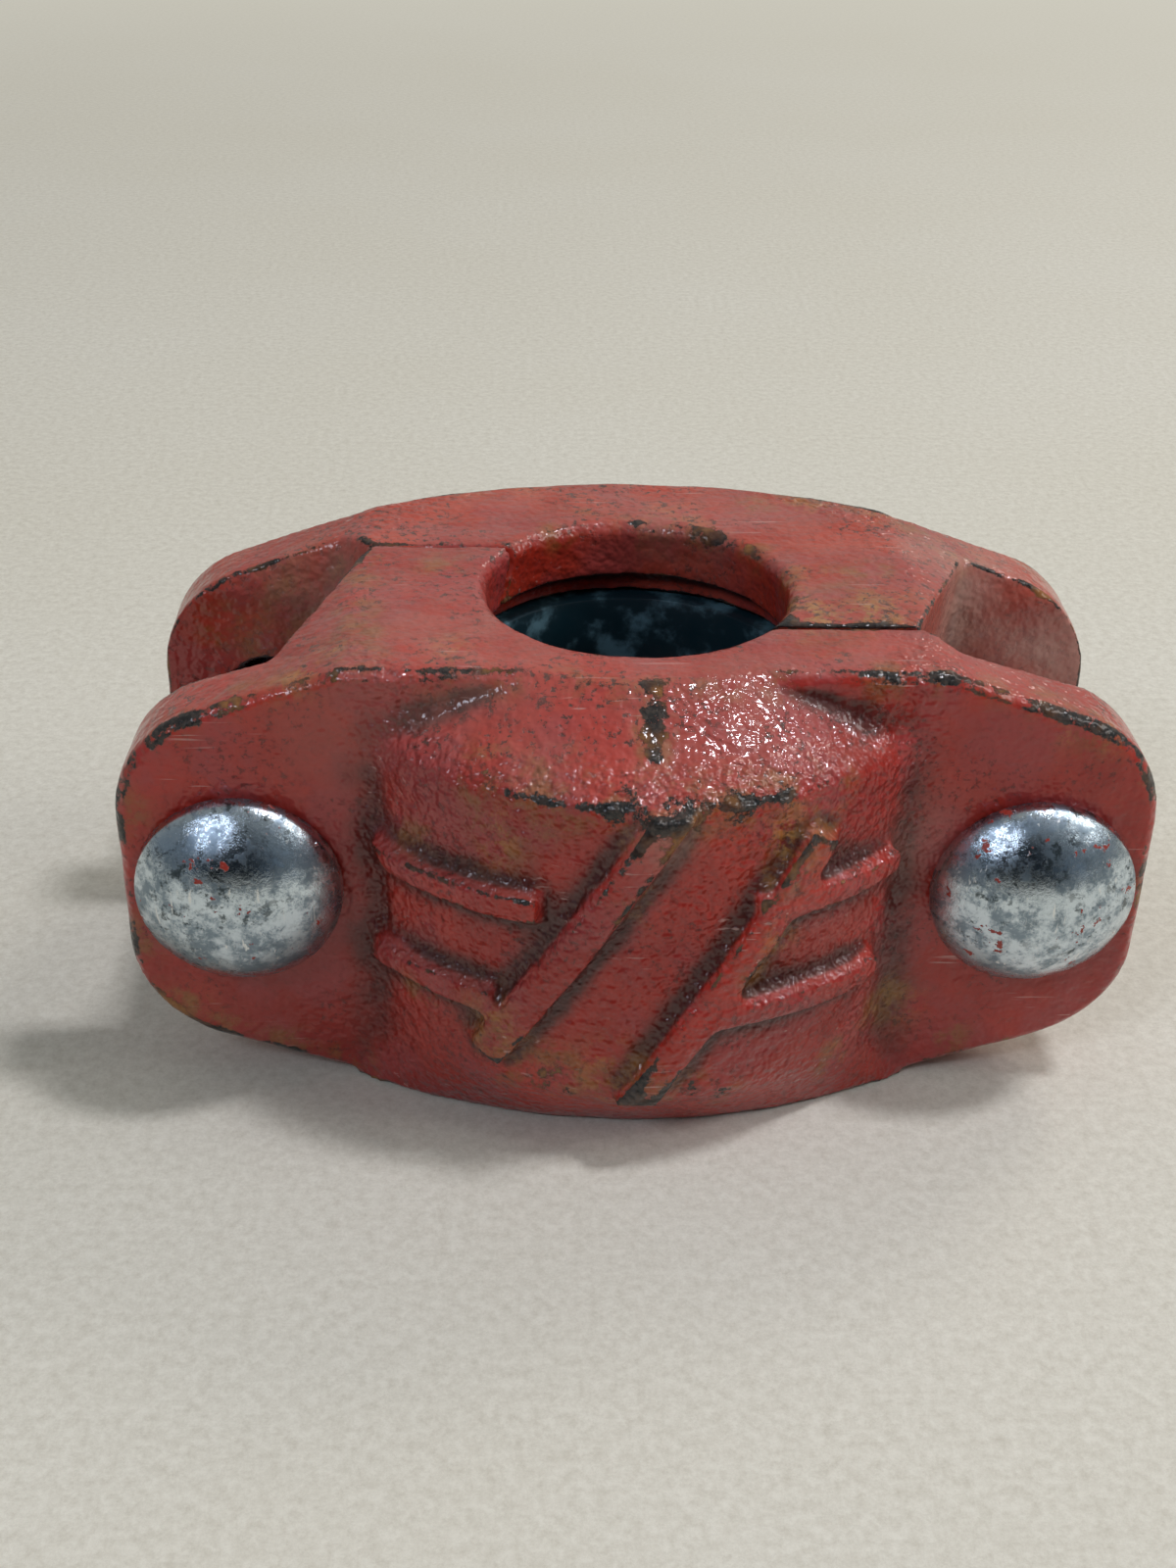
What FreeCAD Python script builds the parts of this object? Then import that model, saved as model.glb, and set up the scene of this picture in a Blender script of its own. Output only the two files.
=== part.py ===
import FreeCAD, Part
import os
import Sketcher

# Rigid coupling for grooved pipe: two identical iron half housings, a rubber
# gasket, two oval-neck bolts and two hexagon nuts. Millimetres, +Z up along
# the pipe axis, X along the line of the two bolts, front half at -Y.

V = FreeCAD.Vector
doc = FreeCAD.newDocument("RigidCoupling")
sheet = doc.addObject("Spreadsheet::Sheet", "Sizes")

SIZES = [
    # housing outline
    ("half_width", 23.8), ("half_length", 51.0), ("flat_half", 28.5),
    ("corner_radius", 12.5), ("corner_height", 7.2), ("pad_front", 19.8),
    ("pad_back", 11.5), ("edge_bevel", 0.9),
    # belly over the gasket pocket
    ("belly_radius", 32.5), ("belly_bend", 16.5), ("narrow_face", 21.5),
    ("wide_face", 27.2), ("lip_radius", 60.0), ("lip_root", 19.9),
    ("lip_floor", 16.0),
    # bore: key, shoulder and gasket pocket
    ("key_radius", 15.2), ("key_width", 6.3), ("key_lead", 1.0),
    ("shoulder_radius", 17.5),
    ("pocket_radius", 25.0), ("pocket_half", 14.7),
    # angled mating faces and the hollow behind each bolt pad
    ("split_slope", 0.40), ("split_gap", 0.2), ("cut_reach", 45.0),
    ("ear_edge", 27.6), ("ear_foot_deep", 36.6), ("ear_foot_high", 35.6),
    ("ear_foot_low", 32.6), ("ear_foot_end", 30.5), ("bevel_start", 17.0),
    ("bevel_depth", 1.8), ("bevel_end", 25.0),
    # bolt seats and slots
    ("bolt_to_end", 11.85), ("spot_radius", 14.4), ("slot_width", 11.4),
    ("slot_length", 17.6),
    # raised ribs on the belly
    ("rib_width", 3.8), ("rib_height", 1.8), ("rib_sink", 1.5),
    ("rib_tilt", 31.0), ("rib_half_pitch", 7.3), ("rib_shift", 0.9),
    ("rib_half_length", 19.0), ("band_width", 3.2), ("band_upper", 5.2),
    ("band_lower", 6.2), ("band_upper_left_from", 17.0),
    ("band_upper_left_sweep", 34.0), ("band_lower_left_from", 25.0),
    ("band_lower_left_sweep", 27.0), ("band_upper_right_from", 18.0),
    ("band_upper_right_sweep", 30.0), ("band_lower_right_from", 9.0),
    ("band_lower_right_sweep", 36.0),
    # gasket
    ("gasket_outer", 24.3), ("gasket_half", 14.45), ("gasket_bore", 16.2),
    ("gasket_wall", 3.4), ("gasket_side", 3.0), ("gasket_lip", 2.4),
    ("gasket_mouth", 5.5),
    # bolts
    ("head_radius", 10.15), ("head_rim", 1.5), ("head_height", 6.4),
    ("crown_radius", 2.8), ("dome_radius", 7.0), ("dome_drop", 2.05),
    ("shank_radius", 4.75), ("bolt_length", 50.0), ("bolt_point", 1.1),
    ("neck_width", 10.8), ("neck_length", 17.0), ("neck_depth", 6.0),
    # nuts
    ("nut_flats", 17.0), ("nut_height", 8.0), ("nut_bore", 5.05),
    ("nut_chamfer", 0.9), ("left_nut_turn", 9.0), ("right_nut_turn", -14.0),
]

for row, (alias, value) in enumerate(SIZES, start=1):
    sheet.set("A%d" % row, alias.replace("_", " "))
    sheet.set("B%d" % row, repr(value))
    sheet.setAlias("B%d" % row, alias)
doc.recompute()


class Size:
    """A number together with the sheet formula that gives it."""

    def __init__(self, value, text):
        self.value = value
        self.text = text

    def __add__(self, other):
        other = as_size(other)
        return Size(self.value + other.value, "(%s + %s)" % (self.text, other.text))

    def __sub__(self, other):
        other = as_size(other)
        return Size(self.value - other.value, "(%s - %s)" % (self.text, other.text))

    def __mul__(self, other):
        other = as_size(other)
        return Size(self.value * other.value, "(%s * %s)" % (self.text, other.text))

    def __neg__(self):
        return Size(-self.value, "(0 - %s)" % self.text)


def as_size(number):
    if isinstance(number, Size):
        return number
    return Size(float(number), repr(float(number)))


D = {alias: Size(value, "Sizes.%s" % alias) for alias, value in SIZES}

# the bolts keep their distance from the ends of the pads
bolt_span = D["half_length"] - D["bolt_to_end"]


def bind(thing, prop, size):
    thing.setExpression(prop, as_size(size).text)


def origin_plane(body, role):
    for feature in body.Origin.OriginFeatures:
        if feature.Role == role:
            return feature
    raise ValueError(role)


def new_sketch(body, name, role, offset=None):
    sketch = body.newObject("Sketcher::SketchObject", name)
    sketch.AttachmentSupport = [(origin_plane(body, role), "")]
    sketch.MapMode = "FlatFace"
    if offset is not None:
        sketch.AttachmentOffset = FreeCAD.Placement(
            V(0, 0, offset.value), FreeCAD.Rotation())
        sketch.setExpression("AttachmentOffset.Base.z", offset.text)
    return sketch


def dimension(sketch, kind, *where):
    """Add one driving dimension and bind it to its sheet formula."""
    size = as_size(where[-1])
    index = sketch.addConstraint(
        Sketcher.Constraint(kind, *where[:-1], size.value))
    sketch.setExpression("Constraints[%d]" % index, size.text)


def fix_point(sketch, geometry, end, x, y):
    dimension(sketch, "DistanceX", -1, 1, geometry, end, x)
    dimension(sketch, "DistanceY", -1, 1, geometry, end, y)


def polygon(sketch, corners):
    """A closed polygon whose every corner is dimensioned from the origin."""
    corners = [(as_size(x), as_size(y)) for x, y in corners]
    count = len(corners)
    for i in range(count):
        start = corners[i]
        end = corners[(i + 1) % count]
        sketch.addGeometry(Part.LineSegment(
            V(start[0].value, start[1].value, 0), V(end[0].value, end[1].value, 0)))
    for i in range(count):
        sketch.addConstraint(
            Sketcher.Constraint("Coincident", i, 2, (i + 1) % count, 1))
    for i, (x, y) in enumerate(corners):
        fix_point(sketch, i, 1, x, y)


def slot_outline(sketch, center_x, width, length):
    """An upright slot: two straight sides and two half-round ends."""
    radius = width * 0.5
    reach = (length - width) * 0.5
    x = center_x.value
    for sign in (1, -1):
        sketch.addGeometry(Part.LineSegment(
            V(x + sign * radius.value, -sign * reach.value, 0),
            V(x + sign * radius.value, sign * reach.value, 0)))
        arc = Part.Circle(V(x, sign * reach.value, 0), V(0, 0, 1), radius.value)
        if sign > 0:
            sketch.addGeometry(Part.ArcOfCircle(arc, 0.0, 3.14159265))
        else:
            sketch.addGeometry(Part.ArcOfCircle(arc, 3.14159265, 6.2831853))
    for first, second in ((0, 1), (1, 2), (2, 3), (3, 0)):
        sketch.addConstraint(Sketcher.Constraint("Tangent", first, 2, second, 1))
    fix_point(sketch, 1, 3, center_x, reach)
    fix_point(sketch, 3, 3, center_x, -reach)
    dimension(sketch, "Radius", 1, radius)


def cut(body, name, sketch, length=None, flip=False):
    """A pocket of the given depth, or through everything."""
    pocket = body.newObject("PartDesign::Pocket", name)
    pocket.Profile = sketch
    pocket.Reversed = flip
    if length is None:
        pocket.Type = "ThroughAll"
    else:
        pocket.Type = "Length"
        pocket.Length = length.value
        pocket.setExpression("Length", length.text)
    sketch.Visibility = False
    return pocket


def raise_pad(body, name, sketch, length, flip=False):
    pad = body.newObject("PartDesign::Pad", name)
    pad.Profile = sketch
    pad.Length = length.value
    pad.setExpression("Length", length.text)
    pad.Reversed = flip
    sketch.Visibility = False
    return pad


def turn(body, kind, name, sketch):
    """A full turn about the sketch's upright axis."""
    feature = body.newObject("PartDesign::" + kind, name)
    feature.Profile = sketch
    feature.ReferenceAxis = (sketch, ["V_Axis"])
    feature.Angle = 360.0
    sketch.Visibility = False
    return feature


def plate_outline(sketch):
    """The front outline: flat sides, sloping shoulders, rounded ends."""
    top = D["half_width"]
    flat = D["flat_half"]
    tip = D["half_length"]
    radius = D["corner_radius"]
    height = D["corner_height"]
    center = tip - radius
    # touch point of the shoulder line, close enough for the solver to settle
    touch_x = center.value + 0.42 * radius.value
    touch_y = height.value + 0.91 * radius.value
    circle_at = lambda sx, sy: Part.Circle(
        V(sx * center.value, sy * height.value, 0), V(0, 0, 1), radius.value)
    steep = 1.137
    line = lambda a, b, c, d: sketch.addGeometry(
        Part.LineSegment(V(a, b, 0), V(c, d, 0)))
    pi = 3.14159265
    line(tip.value, -height.value, tip.value, height.value)
    sketch.addGeometry(Part.ArcOfCircle(circle_at(1, 1), 0.0, steep))
    line(touch_x, touch_y, flat.value, top.value)
    line(flat.value, top.value, -flat.value, top.value)
    line(-flat.value, top.value, -touch_x, touch_y)
    sketch.addGeometry(Part.ArcOfCircle(circle_at(-1, 1), pi - steep, pi))
    line(-tip.value, height.value, -tip.value, -height.value)
    sketch.addGeometry(Part.ArcOfCircle(circle_at(-1, -1), pi, pi + steep))
    line(-touch_x, -touch_y, -flat.value, -top.value)
    line(-flat.value, -top.value, flat.value, -top.value)
    line(flat.value, -top.value, touch_x, -touch_y)
    sketch.addGeometry(Part.ArcOfCircle(circle_at(1, -1), 2 * pi - steep, 2 * pi))
    for first, second in ((0, 1), (1, 2), (4, 5), (5, 6), (6, 7), (7, 8),
                          (10, 11), (11, 0)):
        sketch.addConstraint(Sketcher.Constraint("Tangent", first, 2, second, 1))
    for first, second in ((2, 3), (3, 4), (8, 9), (9, 10)):
        sketch.addConstraint(Sketcher.Constraint("Coincident", first, 2, second, 1))
    fix_point(sketch, 3, 1, flat, top)
    fix_point(sketch, 3, 2, -flat, top)
    fix_point(sketch, 9, 1, -flat, -top)
    fix_point(sketch, 9, 2, flat, -top)
    fix_point(sketch, 1, 3, center, height)
    fix_point(sketch, 5, 3, -center, height)
    fix_point(sketch, 7, 3, -center, -height)
    fix_point(sketch, 11, 3, center, -height)
    for arc in (1, 5, 7, 11):
        dimension(sketch, "Radius", arc, radius)


def bowed_section(sketch, radius, center_y):
    """A shape with a bowed front edge and a straight back."""
    root = -D["lip_root"]
    floor = -D["lip_floor"]
    across = (radius.value ** 2 - (root.value - center_y.value) ** 2) ** 0.5
    sketch.addGeometry(Part.Arc(
        V(-across, root.value, 0), V(0, center_y.value - radius.value, 0),
        V(across, root.value, 0)))
    sketch.addGeometry(Part.LineSegment(
        V(across, root.value, 0), V(across, floor.value, 0)))
    sketch.addGeometry(Part.LineSegment(
        V(across, floor.value, 0), V(-across, floor.value, 0)))
    sketch.addGeometry(Part.LineSegment(
        V(-across, floor.value, 0), V(-across, root.value, 0)))
    arc = sketch.Geometry[0]
    left, right = (1, 2) if arc.StartPoint.x < 0 else (2, 1)
    sketch.addConstraint(Sketcher.Constraint("Coincident", 0, right, 1, 1))
    sketch.addConstraint(Sketcher.Constraint("Coincident", 1, 2, 2, 1))
    sketch.addConstraint(Sketcher.Constraint("Coincident", 2, 2, 3, 1))
    sketch.addConstraint(Sketcher.Constraint("Coincident", 3, 2, 0, left))
    sketch.addConstraint(Sketcher.Constraint("Vertical", 1))
    sketch.addConstraint(Sketcher.Constraint("Vertical", 3))
    fix_point(sketch, 0, 3, 0, center_y)
    dimension(sketch, "Radius", 0, radius)
    for end in (left, right):
        dimension(sketch, "DistanceY", -1, 1, 0, end, root)
    for end in (1, 2):
        dimension(sketch, "DistanceY", -1, 1, 2, end, floor)


def hollow_behind_pad(body, name, side):
    """The space behind one bolt pad, lofted between four levels.

    The two half housings part along sloping faces, high on one side of the
    bore and low on the other, so every level has its own section.
    """
    slope = D["split_slope"]
    back = -D["pad_back"]
    deep = back - D["bevel_depth"]
    reach = D["cut_reach"]
    far = D["half_length"] + 8.0
    end = D["bevel_end"]
    start = D["bevel_start"]
    levels = [
        (end, D["ear_foot_deep"], slope * end, deep),
        (start, D["ear_foot_high"], slope * start, back),
        (-start, D["ear_foot_low"], -(slope * start), back),
        (-end, D["ear_foot_end"], -(slope * end), deep),
    ]
    sections = []
    for number, (level, foot, edge_y, back_y) in enumerate(levels, start=1):
        height = level if side < 0 else -level
        sketch = new_sketch(body, "%sLevel%d" % (name, number), "XY_Plane", height)
        ear = D["ear_edge"]
        corners = [(ear, edge_y), (foot, back_y), (far, back_y), (far, reach),
                   (ear, reach)]
        if side < 0:
            corners = [(-as_size(x), y) for x, y in corners]
        polygon(sketch, corners)
        sketch.Visibility = False
        sections.append(sketch)
    doc.recompute()
    loft = body.newObject("PartDesign::SubtractiveLoft", name)
    loft.Profile = sections[0]
    loft.Sections = sections[1:]
    loft.Ruled = True
    return loft


def half_housing(name, label, flipped):
    """One iron casting, drawn as the front half and turned over for the rear."""
    body = doc.addObject("PartDesign::Body", name + "Casting")

    # plate that carries both bolt pads, with its front edge eased
    outline = new_sketch(body, name + "Outline", "XZ_Plane")
    plate_outline(outline)
    doc.recompute()
    plate = raise_pad(body, name + "Plate", outline, D["pad_front"])
    doc.recompute()
    edges = []
    for number, edge in enumerate(plate.Shape.Edges, start=1):
        if all(abs(p.Point.y + D["pad_front"].value) < 1e-5 for p in edge.Vertexes):
            edges.append("Edge%d" % number)
    eased = body.newObject("PartDesign::Chamfer", name + "FrontEdge")
    eased.Base = (plate, edges)
    eased.Size = D["edge_bevel"].value
    eased.setExpression("Size", D["edge_bevel"].text)
    doc.recompute()
    back = raise_pad(
        body, name + "Back", outline, D["split_slope"] * D["bevel_end"], flip=True)
    doc.recompute()

    # belly that bulges over the gasket pocket
    profile = new_sketch(body, name + "BellyProfile", "XZ_Plane")
    polygon(profile, [
        (0, -D["half_width"]), (D["narrow_face"], -D["half_width"]),
        (D["belly_radius"], -D["belly_bend"]), (D["belly_radius"], D["belly_bend"]),
        (D["narrow_face"], D["half_width"]), (0, D["half_width"])])
    turn(body, "Revolution", name + "Belly", profile)
    doc.recompute()

    # broad lip along the lower side face, drawn out from the belly
    levels = [
        (-D["belly_bend"], D["belly_radius"], as_size(0)),
        (-D["half_width"], D["lip_radius"], D["lip_radius"] - D["wide_face"])]
    lip_sections = []
    for number, (height, radius, center_y) in enumerate(levels, start=1):
        section = new_sketch(body, "%sLip%d" % (name, number), "XY_Plane", height)
        bowed_section(section, radius, center_y)
        section.Visibility = False
        lip_sections.append(section)
    doc.recompute()
    lip = body.newObject("PartDesign::AdditiveLoft", name + "Lip")
    lip.Profile = lip_sections[0]
    lip.Sections = lip_sections[1:]
    lip.Ruled = True
    doc.recompute()

    # sloping mating faces, falling away on one side and rising on the other
    half_gap = D["split_gap"] * 0.5
    reach = D["cut_reach"]
    run = D["split_slope"] * reach
    for side, mark in ((1, "Right"), (-1, "Left")):
        wedge = new_sketch(body, name + mark + "Split", "YZ_Plane")
        low = run if side > 0 else -run
        high = -run if side > 0 else run
        polygon(wedge, [
            (low - half_gap, -reach), (reach * 2, -reach), (reach * 2, reach),
            (high - half_gap, reach)])
        doc.recompute()
        cut(body, name + mark + "MatingFace", wedge, flip=side > 0)
        doc.recompute()

    # bore: two keys, two shoulders and the gasket pocket between them
    bore = new_sketch(body, name + "BoreProfile", "XZ_Plane")
    key_in = D["half_width"] - D["key_width"]
    over = D["half_width"] + 2.0
    mouth = D["half_width"] - D["key_lead"]
    flare = D["key_radius"] + D["key_lead"] + 2.0
    polygon(bore, [
        (0, -over), (flare, -over), (D["key_radius"], -mouth),
        (D["key_radius"], -key_in),
        (D["shoulder_radius"], -key_in), (D["shoulder_radius"], -D["pocket_half"]),
        (D["pocket_radius"], -D["pocket_half"]), (D["pocket_radius"], D["pocket_half"]),
        (D["shoulder_radius"], D["pocket_half"]), (D["shoulder_radius"], key_in),
        (D["key_radius"], key_in), (D["key_radius"], mouth), (flare, over),
        (0, over)])
    turn(body, "Groove", name + "Bore", bore)
    doc.recompute()

    hollow_behind_pad(body, name + "LeftHollow", -1)
    doc.recompute()
    hollow_behind_pad(body, name + "RightHollow", 1)
    doc.recompute()

    # flat seats for the bolt heads and slots for the bolts
    seats = new_sketch(body, name + "Seats", "XZ_Plane", D["pad_front"])
    for number, x in enumerate((bolt_span, -bolt_span)):
        seats.addGeometry(Part.Circle(
            V(x.value, 0, 0), V(0, 0, 1), D["spot_radius"].value))
        fix_point(seats, number, 3, x, 0)
        dimension(seats, "Radius", number, D["spot_radius"])
    doc.recompute()
    cut(body, name + "BoltSeats", seats, reach, flip=True)
    doc.recompute()
    for mark, x in (("Right", bolt_span), ("Left", -bolt_span)):
        slot = new_sketch(body, name + mark + "SlotOutline", "XZ_Plane",
                          D["pad_front"] + 5.0)
        slot_outline(slot, x, D["slot_width"], D["slot_length"])
        doc.recompute()
        cut(body, name + mark + "Slot", slot)
        doc.recompute()

    parts = [body] + belly_ribs(name)
    housing = doc.addObject("Part::MultiFuse", name)
    housing.Shapes = parts
    housing.Refine = True
    housing.Label = label
    angle = 180.0 if flipped else 0.0
    housing.Placement = FreeCAD.Placement(
        V(0, 0, D["half_width"].value), FreeCAD.Rotation(V(1, 0, 0), angle))
    housing.setExpression("Placement.Base.z", D["half_width"].text)
    doc.recompute()
    return housing


def belly_ribs(name):
    """Two slanting ribs and four short bands, raised on the belly."""
    ribs = []
    for mark, sign in (("Left", -1), ("Right", 1)):
        bar = doc.addObject("Part::Box", name + mark + "RibBar")
        bind(bar, "Length", D["rib_width"])
        bind(bar, "Width", D["belly_radius"] * 0.5)
        bind(bar, "Height", D["rib_half_length"] * 2)
        tilt = FreeCAD.Rotation(V(0, 1, 0), D["rib_tilt"].value)
        bar.Placement = FreeCAD.Placement(V(0, 0, 0), tilt)
        bind(bar, "Placement.Rotation.Angle", D["rib_tilt"])
        across = D["rib_half_pitch"] * sign + D["rib_shift"] - D["rib_width"] * 0.5
        # the bar is slid along its own tilted directions to its place
        bar.setExpression(
            "Placement.Base.x",
            "cos(Sizes.rib_tilt) * %s - sin(Sizes.rib_tilt) * Sizes.rib_half_length"
            % across.text)
        bar.setExpression(
            "Placement.Base.z",
            "0 - sin(Sizes.rib_tilt) * %s - cos(Sizes.rib_tilt) * Sizes.rib_half_length"
            % across.text)
        bind(bar, "Placement.Base.y", -(D["belly_radius"] + D["rib_height"] + 1.0))
        rib = doc.addObject("Part::Common", name + mark + "Rib")
        rib.Base = bar
        rib.Tool = rib_limit(name + mark)
        ribs.append(rib)
    bands = [
        ("UpperLeft", D["band_upper"], D["band_upper_left_from"],
         D["band_upper_left_sweep"], -1),
        ("LowerLeft", -D["band_lower"], D["band_lower_left_from"],
         D["band_lower_left_sweep"], -1),
        ("UpperRight", D["band_upper"], D["band_upper_right_from"],
         D["band_upper_right_sweep"], 1),
        ("LowerRight", -D["band_lower"], D["band_lower_right_from"],
         D["band_lower_right_sweep"], 1),
    ]
    for mark, height, start, sweep, side in bands:
        first = start + 270.0 if side > 0 else -start - sweep + 270.0
        walls = []
        for layer, rise in (("Outside", D["rib_height"]), ("Inside", -D["rib_sink"])):
            wall = doc.addObject("Part::Cylinder", name + mark + layer)
            bind(wall, "Radius", D["belly_radius"] + rise)
            bind(wall, "Height", D["band_width"])
            bind(wall, "Angle", sweep)
            wall.Placement = FreeCAD.Placement(
                V(0, 0, 0), FreeCAD.Rotation(V(0, 0, 1), first.value))
            bind(wall, "Placement.Rotation.Angle", first)
            bind(wall, "Placement.Base.z", height - D["band_width"] * 0.5)
            walls.append(wall)
        band = doc.addObject("Part::Cut", name + mark + "Band")
        band.Base, band.Tool = walls
        ribs.append(band)
    doc.recompute()
    return [clear_of_seats(name, ribs)]


def clear_of_seats(name, ribs):
    """The ribs and bands, cut away where the bolt seats are faced flat."""
    seats = []
    for mark, x in (("Right", bolt_span), ("Left", -bolt_span)):
        seat = doc.addObject("Part::Cylinder", name + mark + "SeatFacing")
        bind(seat, "Radius", D["spot_radius"])
        bind(seat, "Height", D["belly_radius"])
        seat.Placement = FreeCAD.Placement(
            V(0, 0, 0), FreeCAD.Rotation(V(1, 0, 0), 90))
        bind(seat, "Placement.Base.x", x)
        bind(seat, "Placement.Base.y", -D["pad_front"])
        seats.append(seat)
    raised = doc.addObject("Part::MultiFuse", name + "Raised")
    raised.Shapes = ribs
    facing = doc.addObject("Part::MultiFuse", name + "Facing")
    facing.Shapes = seats
    doc.recompute()
    faced = doc.addObject("Part::Cut", name + "FacedRibs")
    faced.Base = raised
    faced.Tool = facing
    doc.recompute()
    return faced


def rib_limit(name):
    """A thin ring round the belly that a slanting rib is trimmed to."""
    walls = []
    for mark, rise in (("Outside", D["rib_height"]), ("Inside", -D["rib_sink"])):
        wall = doc.addObject("Part::Cylinder", name + "Limit" + mark)
        bind(wall, "Radius", D["belly_radius"] + rise)
        bind(wall, "Height", D["belly_bend"] * 2)
        bind(wall, "Placement.Base.z", -D["belly_bend"])
        walls.append(wall)
    ring = doc.addObject("Part::Cut", name + "Limit")
    ring.Base, ring.Tool = walls
    return ring


front = half_housing("FrontHousing", "front_housing", False)
rear = half_housing("RearHousing", "rear_housing", True)


# gasket: a C-shaped rubber ring, open towards the bore
def make_gasket():
    body = doc.addObject("PartDesign::Body", "Gasket")
    section = new_sketch(body, "GasketSection", "XZ_Plane")
    outer = D["gasket_outer"]
    half = D["gasket_half"]
    bore = D["gasket_bore"]
    floor = outer - D["gasket_wall"]
    inside = half - D["gasket_side"]
    lip = bore + D["gasket_lip"]
    mouth = D["gasket_mouth"]
    upper = [(bore, mouth), (lip, mouth), (lip, inside), (floor, inside)]
    lower = [(floor, -inside), (lip, -inside), (lip, -mouth), (bore, -mouth)]
    polygon(section, [
        (outer, -half), (outer, half), (bore, half)] + upper + lower
        + [(bore, -half)])
    turn(body, "Revolution", "GasketRing", section)
    body.Label = "gasket"
    bind(body, "Placement.Base.z", D["half_width"])
    doc.recompute()
    return body


gasket = make_gasket()


# bolt: domed head, oval neck that stops it turning, round shank
def make_bolt(name, label, side):
    body = doc.addObject("PartDesign::Body", name)
    profile = new_sketch(body, name + "Profile", "XY_Plane")
    seat = -D["pad_front"]
    crown = seat - D["head_height"]
    rim = seat - D["head_rim"]
    end = seat + D["bolt_length"]
    radius = D["head_radius"]
    shank = D["shank_radius"]
    point = D["bolt_point"]
    polygon(profile, [
        (0, crown), (D["crown_radius"], crown),
        (D["dome_radius"], crown + D["dome_drop"]), (radius, rim), (radius, seat),
        (shank, seat), (shank, end - point), (shank - point, end), (0, end)])
    doc.recompute()
    turn(body, "Revolution", name + "Turned", profile)
    doc.recompute()
    neck = new_sketch(body, name + "NeckOutline", "XZ_Plane", D["pad_front"])
    slot_outline(neck, as_size(0), D["neck_width"], D["neck_length"])
    doc.recompute()
    raise_pad(body, name + "Neck", neck, D["neck_depth"], flip=True)
    body.Label = label
    bind(body, "Placement.Base.x", bolt_span * side)
    bind(body, "Placement.Base.z", D["half_width"])
    doc.recompute()
    return body


left_bolt = make_bolt("LeftBolt", "left_bolt", -1)
right_bolt = make_bolt("RightBolt", "right_bolt", 1)


# nut: hexagon chamfered at its outer end, its plain face on the rear pad
def make_nut(name, label, side, turned):
    body = doc.addObject("PartDesign::Body", name)
    hexagon = new_sketch(body, name + "Hexagon", "XZ_Plane", -D["pad_front"])
    flat = D["nut_flats"] * 0.5
    corner = D["nut_flats"] * 0.57735
    half = D["nut_flats"] * 0.288675
    polygon(hexagon, [
        (corner, 0), (half, flat), (-half, flat), (-corner, 0), (-half, -flat),
        (half, -flat)])
    doc.recompute()
    raise_pad(body, name + "Block", hexagon, D["nut_height"], flip=True)
    doc.recompute()
    chamfer = D["nut_chamfer"]
    low = D["pad_front"]
    high = low + D["nut_height"]
    inner = flat - chamfer * 0.3
    outer = corner + 1.0
    corner_cut = new_sketch(body, name + "Corner", "XY_Plane")
    away = high + chamfer * 2.0
    depth = high - chamfer * 1.6
    polygon(corner_cut, [(inner, away), (inner, high), (outer, depth), (outer, away)])
    doc.recompute()
    turn(body, "Groove", name + "Chamfer", corner_cut)
    doc.recompute()
    hole = new_sketch(body, name + "HoleProfile", "XY_Plane")
    polygon(hole, [
        (0, low - 1.0), (D["nut_bore"], low - 1.0), (D["nut_bore"], high + 1.0),
        (0, high + 1.0)])
    doc.recompute()
    turn(body, "Groove", name + "Hole", hole)
    body.Label = label
    body.Placement = FreeCAD.Placement(
        V(0, 0, 0), FreeCAD.Rotation(V(0, 1, 0), turned.value))
    bind(body, "Placement.Rotation.Angle", turned)
    bind(body, "Placement.Base.x", bolt_span * side)
    bind(body, "Placement.Base.z", D["half_width"])
    doc.recompute()
    return body


left_nut = make_nut("LeftNut", "left_nut", -1, D["left_nut_turn"])
right_nut = make_nut("RightNut", "right_nut", 1, D["right_nut_turn"])

doc.recompute()
for thing in doc.Objects:
    if "Invalid" in thing.State or "Error" in thing.State:
        raise RuntimeError("not built: " + thing.Name)

os.makedirs("parts", exist_ok=True)
for node in (front, rear, gasket, left_bolt, right_bolt, left_nut, right_nut):
    if not node.Shape.isValid() or len(node.Shape.Solids) != 1:
        raise RuntimeError("not one sound solid: " + node.Label)
    node.Shape.exportStep("parts/%s.step" % node.Label)
    box = node.Shape.BoundBox
    print("%-14s %8.0f mm3  x %.1f %.1f  y %.1f %.1f  z %.1f %.1f" % (
        node.Label, node.Shape.Volume, box.XMin, box.XMax, box.YMin, box.YMax,
        box.ZMin, box.ZMax))
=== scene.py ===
import math

import bpy
import numpy as np
from mathutils import Matrix, Vector


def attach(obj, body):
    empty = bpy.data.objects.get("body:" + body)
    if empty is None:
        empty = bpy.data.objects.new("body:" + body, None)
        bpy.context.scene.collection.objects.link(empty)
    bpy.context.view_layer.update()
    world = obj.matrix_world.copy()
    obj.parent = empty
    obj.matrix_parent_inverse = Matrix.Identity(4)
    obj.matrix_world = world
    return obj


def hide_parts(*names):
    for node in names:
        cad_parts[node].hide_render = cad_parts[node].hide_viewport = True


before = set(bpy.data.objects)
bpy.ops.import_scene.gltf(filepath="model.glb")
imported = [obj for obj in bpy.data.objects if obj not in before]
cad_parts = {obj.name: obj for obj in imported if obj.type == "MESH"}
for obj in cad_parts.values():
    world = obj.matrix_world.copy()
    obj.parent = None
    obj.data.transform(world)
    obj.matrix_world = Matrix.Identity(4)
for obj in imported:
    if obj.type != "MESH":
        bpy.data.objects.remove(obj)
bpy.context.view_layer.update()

bpy.ops.object.select_all(action='DESELECT')

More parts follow.
